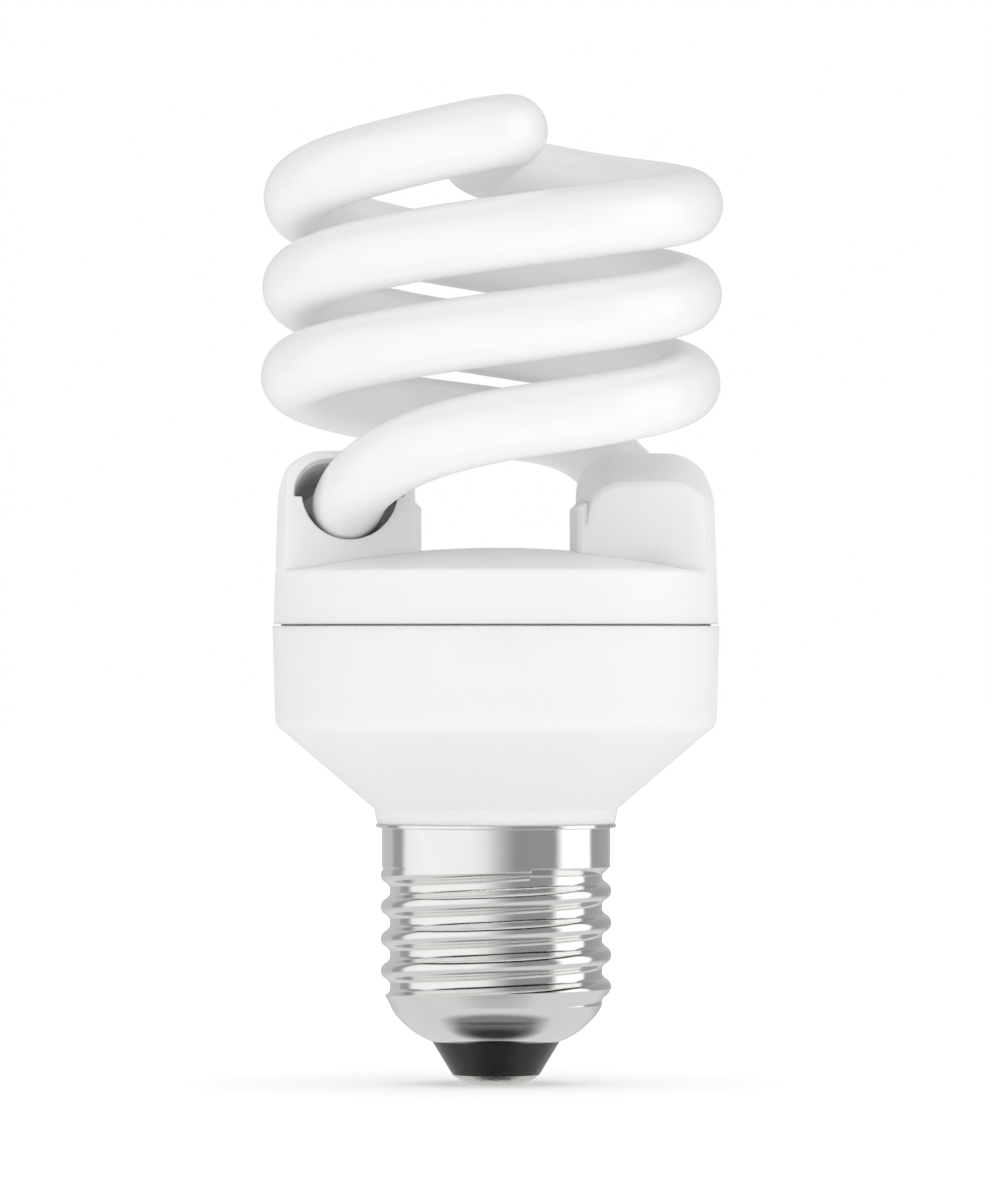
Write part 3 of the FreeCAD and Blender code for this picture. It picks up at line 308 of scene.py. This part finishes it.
# the record's material slots
FINISHES = {
    "coated_glass": coated_glass,
    "white_plastic": white_plastic,
    "plated_shell": plated_shell,
    "black_glass": black_glass,
    "contact_metal": contact_metal,
    "cement": cement,
    "board_laminate": board_laminate,
    "can_sleeve": can_sleeve,
    "ferrite": ferrite,
    "bobbin_plastic": bobbin_plastic,
    "enamelled_copper": enamelled_copper,
    "black_epoxy": black_epoxy,
    "film_coat": film_coat,
    "resistor_coat": resistor_coat,
    "thermistor_coat": thermistor_coat,
    "tinned_wire": tinned_wire,
}

materials = {}
for finish, build in FINISHES.items():
    materials[finish] = bpy.data.materials.new(finish + "_finish")
    build(tree_of(materials[finish]))

for name, piece in nodes.items():
    piece.data.materials.clear()
    piece.data.materials.append(materials[slots[name]])


# the floor
def floor_finish():
    """Pale and matte.  The camera sees it white away from the lamp's shadow, it hands light
    back to the undersides as a white table does, and the metal mirrors the world through it."""
    material = bpy.data.materials.new("floor_finish")
    tree = tree_of(material)
    place = place_of(tree)
    paler = [level + FLOOR_MOTTLE for level in FLOOR_COLOUR]
    tint = blend(tree, noise(tree, place, scale=30), FLOOR_COLOUR, paler)
    matte = add(tree, "ShaderNodeBsdfDiffuse", {"Color": tint})
    reach = add(tree, "ShaderNodeVectorMath", {0: place}, operation="LENGTH").outputs["Value"]
    seen = spread(tree, reach, *CAMERA_GLOW, *CAMERA_GLOW_REACH)
    returned = spread(tree, reach, *RETURN_GLOW, *RETURN_GLOW_REACH)
    path = add(tree, "ShaderNodeLightPath").outputs
    level = choose(tree, path["Is Camera Ray"], 0.0, seen)
    level = choose(tree, path["Is Diffuse Ray"], level, returned)
    glow = add(tree, "ShaderNodeEmission", {"Color": colour((1, 1, 1)), "Strength": level})
    both = add(tree, "ShaderNodeAddShader", {0: matte.outputs[0], 1: glow.outputs[0]})
    clear = add(tree, "ShaderNodeBsdfTransparent")
    surface = add(tree, "ShaderNodeMixShader",
                  {0: path["Is Glossy Ray"], 1: both.outputs[0], 2: clear.outputs[0]})
    output = add(tree, "ShaderNodeOutputMaterial")
    tree.links.new(surface.outputs[0], output.inputs["Surface"])
    material.cycles.emission_sampling = "NONE"
    return material


floor_mesh = bpy.data.meshes.new("floor")
corners = [(-FLOOR_HALF, -FLOOR_HALF, 0), (FLOOR_HALF, -FLOOR_HALF, 0),
           (FLOOR_HALF, FLOOR_HALF, 0), (-FLOOR_HALF, FLOOR_HALF, 0)]
floor_mesh.from_pydata(corners, [], [(0, 1, 2, 3)])
floor_mesh.materials.append(floor_finish())
floor = bpy.data.objects.new("floor", floor_mesh)
floor.location.z = -FLOOR_DROP
bpy.context.scene.collection.objects.link(floor)


# the light
def world_light():
    """White where the camera sees it.  Matte surfaces are lit evenly, a little more from the
    viewer's right, and shiny ones mirror the screens."""
    world = bpy.data.worlds.new("studio")
    tree = tree_of(world)
    toward = add(tree, "ShaderNodeTexCoord").outputs["Generated"]
    axes = add(tree, "ShaderNodeSeparateXYZ", {0: toward}).outputs
    front = add(tree, "ShaderNodeMath", {0: axes["Y"], 1: -1.0}, operation="MULTIPLY").outputs[0]
    around = add(tree, "ShaderNodeMath", {0: axes["X"], 1: front}, operation="ARCTAN2").outputs[0]
    rise = add(tree, "ShaderNodeMath", {0: axes["Z"]}, operation="ARCSINE").outputs[0]

    turn = spread(tree, around, 0.0, 1.0, -math.pi, math.pi)
    ramp = add(tree, "ShaderNodeValToRGB", {"Fac": turn})
    stops = ramp.color_ramp.elements
    for k, (angle, level) in enumerate(SCREENS):
        position = (angle + 180) / 360
        stop = stops[k] if k < 2 else stops.new(position)
        stop.position = position
        stop.color = colour((level, level, level))

    def beyond(angles):
        return spread(tree, rise, 0.0, 1.0, *(math.radians(angle) for angle in angles))

    lean = math.radians(PATCH_LEAN)
    middle = (0.0, math.sin(lean), -math.cos(lean))
    nearness = add(tree, "ShaderNodeVectorMath", {0: toward, 1: middle},
                   operation="DOT_PRODUCT").outputs["Value"]
    edges = [math.cos(math.radians(angle)) for angle in PATCH_REACH]
    patch = spread(tree, nearness, 0.0, 1.0, *edges)
    shine = choose(tree, beyond(ZENITH_RISE), ramp.outputs["Color"], ZENITH_LEVEL)
    shine = choose(tree, beyond(GROUND_RISE), shine, GROUND_LEVEL)
    shine = choose(tree, beyond(NADIR_RISE), shine, NADIR_LEVEL)
    shine = choose(tree, patch, shine, PATCH_LEVEL)

    even = add(tree, "ShaderNodeMath", {0: axes["X"], 1: RIGHTWARD, 2: AROUND},
               operation="MULTIPLY_ADD").outputs[0]
    path = add(tree, "ShaderNodeLightPath").outputs
    level = choose(tree, path["Is Glossy Ray"], even, shine)
    level = choose(tree, path["Is Camera Ray"], level, 1.0)
    light = add(tree, "ShaderNodeBackground", {"Color": colour((1, 1, 1)), "Strength": level})
    output = add(tree, "ShaderNodeOutputWorld")
    tree.links.new(light.outputs[0], output.inputs["Surface"])
    world.cycles.sampling_method = "NONE"
    bpy.context.scene.world = world


def softbox(name, azimuth, elevation, distance, width, height, power):
    """Area lamp round the object: azimuth 0 is the camera's side, positive to its right."""
    turn = math.radians(azimuth)
    rise = math.radians(elevation)
    out = math.cos(rise)
    away = Vector((math.sin(turn) * out, -math.cos(turn) * out, math.sin(rise)))
    data = bpy.data.lights.new(name, "AREA")
    data.shape = "RECTANGLE"
    data.size = width
    data.size_y = height
    data.energy = power
    lamp = bpy.data.objects.new(name, data)
    lamp.location = LAMP_MIDDLE + away * distance
    lamp.rotation_euler = (-away).to_track_quat("-Z", "Y").to_euler()
    lamp.visible_camera = False
    lamp.visible_glossy = False
    bpy.context.scene.collection.objects.link(lamp)


world_light()
softbox("key", azimuth=8, elevation=20, distance=1.2, width=0.9, height=0.7, power=0.6)

# the camera
lens = bpy.data.cameras.new("camera")
lens.sensor_fit = "AUTO"
lens.sensor_width = SENSOR
lens.lens = LENS
lens.clip_start, lens.clip_end = CAMERA_CLIP
camera = bpy.data.objects.new("camera", lens)
camera.location = (0, -CAMERA_DISTANCE, CAMERA_HEIGHT)
aim = Vector((0, 0, AIM_HEIGHT)) - camera.location
camera.rotation_euler = aim.to_track_quat("-Z", "Y").to_euler()
bpy.context.scene.collection.objects.link(camera)
bpy.context.scene.camera = camera

bpy.context.scene.view_settings.view_transform = "Standard"
